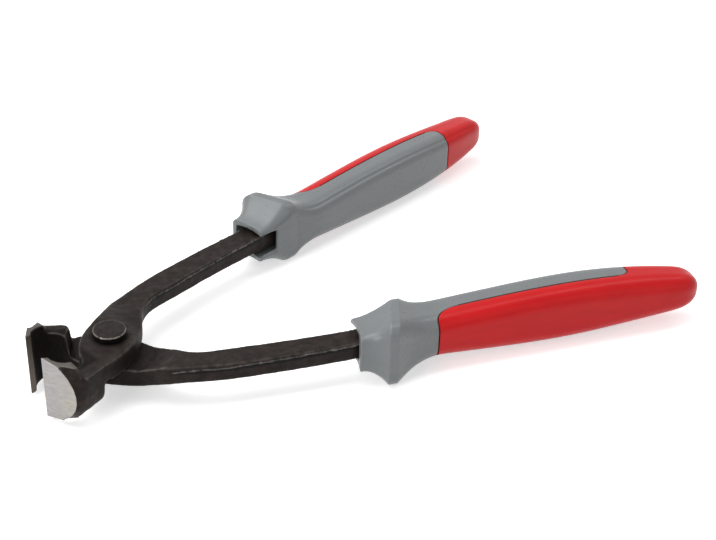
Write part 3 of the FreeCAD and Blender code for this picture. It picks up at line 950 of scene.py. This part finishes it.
@dataclass
class Lever:
    """One forged lever with softened edges and the rough flash of its dies."""

    half: Half
    planes: JawPlanes = JawPlanes()
    voxel: float = 0.28
    weld: float = 0.001
    snap: float = 0.2
    arris: float = 0.34
    edge_rounds: int = 4
    root_rounds: int = 150
    marks: float = 0.022
    waves: int = 48
    wave_length: tuple[float, float] = (1.3, 7.8)
    grind_back: float = -20.2
    root_from: tuple[float, float] = (-20.6, -19.0)
    root_to: tuple[float, float] = (-8.0, -11.0)
    root_side: tuple[float, float] = (-6.5, -8.5)
    root_top: tuple[float, float] = (6.3, 5.3)
    bend: tuple[float, float] = (0.006, 0.022)
    offset: float = 17.5
    width: float = 8.1
    outer_side: tuple[tuple[float, ...], ...] = ((9.0, 13.0, 18.6, 27.9, 43.4, 62.0, 110.0),
                                                 (0.98, 0.58, 0.40, 0.20, 0.05, 0.0, 0.02))
    inner_side: tuple[tuple[float, ...], ...] = ((19.5, 23.6, 32.9, 46.5, 62.0, 110.0),
                                                 (0.62, 0.33, 0.17, 0.07, 0.0, 0.02))
    flash_start: float = 15.0
    flash_end: float = 80.0
    flash_fade: float = 2.5
    flash_later: float = 7.0
    flash_rise: tuple[float, float] = (1.5, 2.6)
    flash_radius: tuple[float, float] = (0.17, 0.07)

    def blank(self) -> tuple[np.ndarray, np.ndarray]:
        """Copy of the CAD lever in small even quads.

        Returns:
            Points in the shut pose in millimetres, and the quads.
        """
        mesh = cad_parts[self.half.value + "_lever"].data.copy()
        welded = bmesh.new()
        welded.from_mesh(mesh)
        bmesh.ops.remove_doubles(welded, verts=welded.verts, dist=self.weld * MM)
        welded.to_mesh(mesh)
        welded.free()
        blank = put("blank", mesh)
        even = blank.modifiers.new("even", "REMESH")
        even.mode = "VOXEL"
        even.voxel_size = self.voxel * MM
        graph = bpy.context.evaluated_depsgraph_get()
        made = bpy.data.meshes.new_from_object(blank.evaluated_get(graph))
        points = np.empty(3 * len(made.vertices))
        made.vertices.foreach_get("co", points)
        quads = np.empty(len(made.loops), dtype=np.int32)
        made.loops.foreach_get("vertex_index", quads)
        bpy.data.objects.remove(blank)
        bpy.data.meshes.remove(made)
        return (points.reshape(-1, 3) / MM - PIVOT) @ self.half.turn, quads.reshape(-1, 4)

    @staticmethod
    def relax(points: np.ndarray, quads: np.ndarray, share: np.ndarray,
              rounds: int) -> np.ndarray:
        """Draw every point towards the mean of its neighbours.

        Each round adds to a point its share of the way to the mean of the points
        at the other ends of its edges.

        Args:
            points: The vertices.
            quads: Faces of a closed surface, all turned the same way.
            share: One number for each vertex, 0 to hold it.
            rounds: How often this is done.

        Returns:
            The moved vertices.
        """
        start, end = quads.ravel(), np.roll(quads, -1, axis=1).ravel()
        count = np.bincount(start, minlength=len(points))[:, None]
        for _ in range(rounds):
            mean = np.stack([np.bincount(start, points[end, k], len(points))
                             for k in range(3)], axis=1) / count
            points = points + share[:, None] * (mean - points)
        return points

    @staticmethod
    def normals(points: np.ndarray, quads: np.ndarray) -> np.ndarray:
        """Unit normals: at each vertex, the sum of its faces' crossed diagonals."""
        first, second, third, fourth = (points[quads[:, k]] for k in range(4))
        facing = np.repeat(np.cross(third - first, fourth - second), 4, axis=0)
        normal = np.stack([np.bincount(quads.ravel(), facing[:, k], len(points))
                           for k in range(3)], axis=1)
        return normal / np.linalg.norm(normal, axis=1)[:, None]

    def wear(self, points: np.ndarray, quads: np.ndarray) -> np.ndarray:
        """How sharp the surface bends outwards, from 0 on flats to 1 on edges.

        It is the height of each vertex over the mean of its neighbours, along
        the outward normal, spread over the next few vertices.
        """
        whole = np.ones(len(points))
        mean = self.relax(points, quads, whole, 1)
        height = ((points - mean) * self.normals(points, quads)).sum(axis=1)
        if height.mean() < 0.0:
            height = -height
        spread = self.relax(np.repeat(height[:, None], 3, axis=1), quads, whole, 2)[:, 0]
        return ramp(spread, self.bend[0], self.bend[1])

    def hammered(self, points: np.ndarray, quads: np.ndarray,
                 share: np.ndarray) -> np.ndarray:
        """Uneven skin: a sum of plane waves of random direction, along the normals.

        Args:
            points: The vertices in the shut pose.
            quads: Their faces.
            share: How much of the unevenness each vertex gets.

        Returns:
            The moved vertices.
        """
        rng = np.random.default_rng(11 + (self.half is Half.LOWER))
        direction = rng.normal(size=(3, self.waves))
        direction /= np.linalg.norm(direction, axis=0)
        short, long = self.wave_length
        length = short * (long / short) ** rng.random(self.waves)
        start = 2.0 * np.pi * rng.random(self.waves)
        phase = points @ (direction * 2.0 * np.pi / length) + start
        height = (np.sin(phase) * np.sqrt(length)).sum(axis=1) / math.sqrt(self.waves)
        return points + (self.marks * height * share)[:, None] * self.normals(points, quads)

    def forged(self) -> tuple[np.ndarray, np.ndarray, np.ndarray]:
        """The blank with the look of a forging.

        The root of the jaw is blended well, every other forged edge a little, and
        the ground faces are pressed back onto their planes and keep their edges.

        Returns:
            Points in the shut pose in millimetres, the quads, and the wear.
        """
        points, quads = self.blank()
        planes = self.planes
        x, y, z = points.T
        ahead = (points - planes.edge) @ np.array(planes.bevel)
        behind = (points - planes.edge) @ np.array(planes.lip)
        level = np.abs(z) + np.abs(y) * planes.fall - planes.side_top
        bevel = np.abs(ahead) < self.snap
        lip = (np.abs(behind) < self.snap) & (x < planes.lip_front)
        side = (np.abs(level) < self.snap) & (x < self.grind_back)
        arris = (np.abs(ahead) < self.arris) & (np.abs(level) < self.arris)
        bevel, side = bevel | arris, side | arris
        root = (ramp(x, *self.root_from) * ramp(x, *self.root_to)
                * ramp(y, *self.root_side) * ramp(z, *self.root_top))
        free = 1.0 - (bevel | lip | side)
        points = self.relax(points, quads, 0.5 * root * free, self.root_rounds)
        points = self.relax(points, quads, 0.5 * free, self.edge_rounds)
        wear = self.wear(points, quads) * free
        points = self.hammered(points, quads, free)
        points[bevel] -= ahead[bevel, None] * np.array(planes.bevel)
        points[lip] -= behind[lip, None] * np.array(planes.lip)
        points[side, 2] -= (np.sign(z) * level)[side]
        return points, quads, wear

    def side(self, along: np.ndarray, outer: bool) -> np.ndarray:
        """Distance of the tang's outer or inner side face from the shut handle's line."""
        knots, share = np.array(self.outer_side if outer else self.inner_side)
        middle = self.offset + (0.5 if outer else -0.5) * self.width
        return middle - self.width * natural_spline(knots, share, along)

    def flash(self, outer: bool, finish: bpy.types.Material) -> bpy.types.Object:
        """Rough ridge left by the forging dies along one side of the tang.

        A small ellipse is carried along the side face. Its radius and its height
        on the face wander with random waves, and it fades out at both ends.

        Args:
            outer: Whether the ridge is on the outer side face.
            finish: The ridge's material.

        Returns:
            The ridge.
        """
        start = self.flash_start + (0.0 if outer else self.flash_later)
        along = np.linspace(start, self.flash_end, 420)
        seed = 3 * outer + (self.half is Half.LOWER)
        rise = np.linspace(*self.flash_rise, len(along))
        level = self.half.sign * (rise + 0.14 * smooth_noise(along, seed, 3.0))
        to_end = np.minimum(along - start, self.flash_end - along)
        fade = np.sqrt(np.clip(to_end / self.flash_fade, 0.0, 1.0))
        radius, change = self.flash_radius
        size = (radius + change * smooth_noise(along, seed + 20, 1.1)) * fade
        size = np.maximum(size, 0.02)[:, None]
        around = np.linspace(0.0, 2.0 * np.pi, 12, endpoint=False)
        out = size * 1.15 * np.cos(around)
        up = size * 1.5 * np.sin(around)
        lean = 1.0 if outer else -1.0
        grid = np.stack([along[:, None] + 0.0 * out,
                         self.side(along, outer)[:, None] + lean * (out - 0.03),
                         level[:, None] + up], axis=-1)
        points, faces = closed_tube(grid, grid[[0, -1]].mean(axis=1))
        name = f"{self.half.value}_flash_{'outer' if outer else 'inner'}"
        return Piece(name, self.half, "forged_steel").build(points, faces, finish)

    def build(self) -> None:
        """Make the lever and add the flash along both sides of its tang."""
        name = self.half.value + "_lever"
        points, quads, wear = self.forged()
        piece = Piece("forged_" + name, self.half, "forged_steel", (name,))
        finish = ForgedSteel(self.half, planes=self.planes).material()
        piece.build(points, [quads], finish, {"wear": wear})
        # the flash ridges' lighter skin is bare trimmed metal and a painted highlight along the
        # ridge
        wear_and_highlight = ForgedSteel(self.half, "flash_highlight_steel", self.planes, dark=(0.012, 0.010, 0.009),
                           light=(0.12, 0.105, 0.095), shine=0.4).material()
        self.flash(True, wear_and_highlight)
        self.flash(False, wear_and_highlight)


@dataclass
class Studio:
    """Floor, soft lamps, pale surroundings and the photograph's camera."""

    azimuth: float = -33.08
    elevation: float = 33.47
    roll: float = 1.652
    focal_pixels: float = 1555.6
    distance: float = 480.2
    pivot_pixel: tuple[float, float] = (110.95, 352.02)
    image: tuple[int, int] = (716, 540)
    sensor: float = 36.0
    floor_reach: float = 3.0
    floor_glow: float = 0.55
    world_light: float = 0.24
    lamps: tuple[tuple, ...] = (
        ("top", 8.6, (1.0, 0.8), (-0.30, 0.30, 0.92), (0.0, 0.0, 0.01)),
        ("left", 3.4, (0.5, 0.5), (-0.90, -0.20, 0.50), (0.0, 0.0, 0.01)),
        ("front", 0.6, (0.8, 0.4), (0.35, -0.95, 0.45), (0.0, 0.0, 0.01)),
        ("strip", 1.5, (0.8, 0.12), (0.46, -0.12, 0.85), (0.04, -0.03, 0.01)),
    )

    @staticmethod
    def stand(data: bpy.types.ID, place: np.ndarray, *axes: np.ndarray) -> bpy.types.Object:
        """Put up a camera or lamp.

        Args:
            data: The camera or lamp, which looks along its own -z.
            place: Where it stands, in metres.
            axes: Its right, upward and backward directions.

        Returns:
            The new object.
        """
        matrix = np.eye(4)
        matrix[:3] = np.stack([*axes, place], axis=1)
        item = put(data.name, data)
        item.matrix_world = Matrix(matrix.tolist())
        return item

    def camera(self) -> None:
        """Camera of the photograph, placed from the pixel where the pivot shows."""
        az, el, roll = (math.radians(v) for v in (self.azimuth, self.elevation, self.roll))
        back = np.array([math.sin(az) * math.cos(el), -math.cos(az) * math.cos(el),
                         math.sin(el)])
        level = np.cross(-back, [0.0, 0.0, 1.0])
        level /= np.linalg.norm(level)
        upright = np.cross(level, -back)
        right = math.cos(roll) * level + math.sin(roll) * upright
        up = -math.sin(roll) * level + math.cos(roll) * upright
        u = (self.pivot_pixel[0] - self.image[0] / 2) / self.focal_pixels * self.distance
        v = (self.image[1] / 2 - self.pivot_pixel[1]) / self.focal_pixels * self.distance
        data = bpy.data.cameras.new("camera")
        data.sensor_width = self.sensor
        data.lens = self.focal_pixels / self.image[0] * self.sensor
        data.clip_start, data.clip_end = 0.01, 50.0
        eye = PIVOT - u * right - v * up + self.distance * back
        bpy.context.scene.camera = self.stand(data, eye * MM, right, up, back)

    def lamp(self, name: str, power: float, size: tuple[float, float], place: Triple,
             target: Triple) -> None:
        """Rectangular soft lamp that faces a target."""
        data = bpy.data.lights.new(name, "AREA")
        data.energy = power
        data.shape = "RECTANGLE"
        data.size, data.size_y = size
        back = np.array(place) - np.array(target)
        back /= np.linalg.norm(back)
        side = np.cross([0.0, 1.0, 0.0], back)
        side /= np.linalg.norm(side)
        self.stand(data, place, side, np.cross(back, side), back)

    def floor(self) -> None:
        """Plain white floor just under everything."""
        reach, level = self.floor_reach, -0.0002
        mesh = bpy.data.meshes.new("floor")
        mesh.from_pydata([(-reach, -reach, level), (reach, -reach, level),
                          (reach, reach, level), (-reach, reach, level)], [], [(0, 1, 2, 3)])
        board = NodeBoard(bpy.data.materials.new("floor"))
        matt = board.add("BsdfPrincipled", {"Base Color": (0.93, 0.93, 0.93), "Roughness": 0.9,
                                            "Specular IOR Level": 0.1})
        glow = board.add("Emission", {"Strength": board.product(board.seen(), self.floor_glow)})
        board.show(board.add("AddShader", {0: matt, 1: glow}))
        mesh.materials.append(board.owner)
        put("floor", mesh)

    def surroundings(self) -> None:
        """Even pale world: white to the camera, softer as a source of light."""
        world = bpy.data.worlds.new("studio")
        bpy.context.scene.world = world
        board = NodeBoard(world)
        strength = board.remap(board.seen(), 0.0, 1.0, self.world_light, 1.0)
        board.show(board.add("Background", {"Color": (1.0, 1.0, 1.0), "Strength": strength}))

    def build(self) -> None:
        """Set up the camera, the light and the floor."""
        bpy.context.scene.view_settings.view_transform = "Standard"
        self.camera()
        self.floor()
        self.surroundings()
        for lamp in self.lamps:
            self.lamp(*lamp)


def main() -> None:
    """Build the nippers piece by piece."""
    logging.basicConfig(level=logging.INFO)
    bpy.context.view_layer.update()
    Studio().build()
    form = GripForm()
    for half in Half:
        Lever(half).build()
        grey = MouldedGrip("grey_grip", half, (0.172, 0.184, 0.189), (0.190, 0.203, 0.208),
                           (0.26, 0.35), 0.40)
        red = MouldedGrip("red_grip", half, (0.54, 0.006, 0.008), (0.61, 0.009, 0.011),
                          (0.28, 0.36), 0.20)
        Grip(half, form, grey, red).build()
    Rivet().build()


if __name__ == "__main__":
    main()
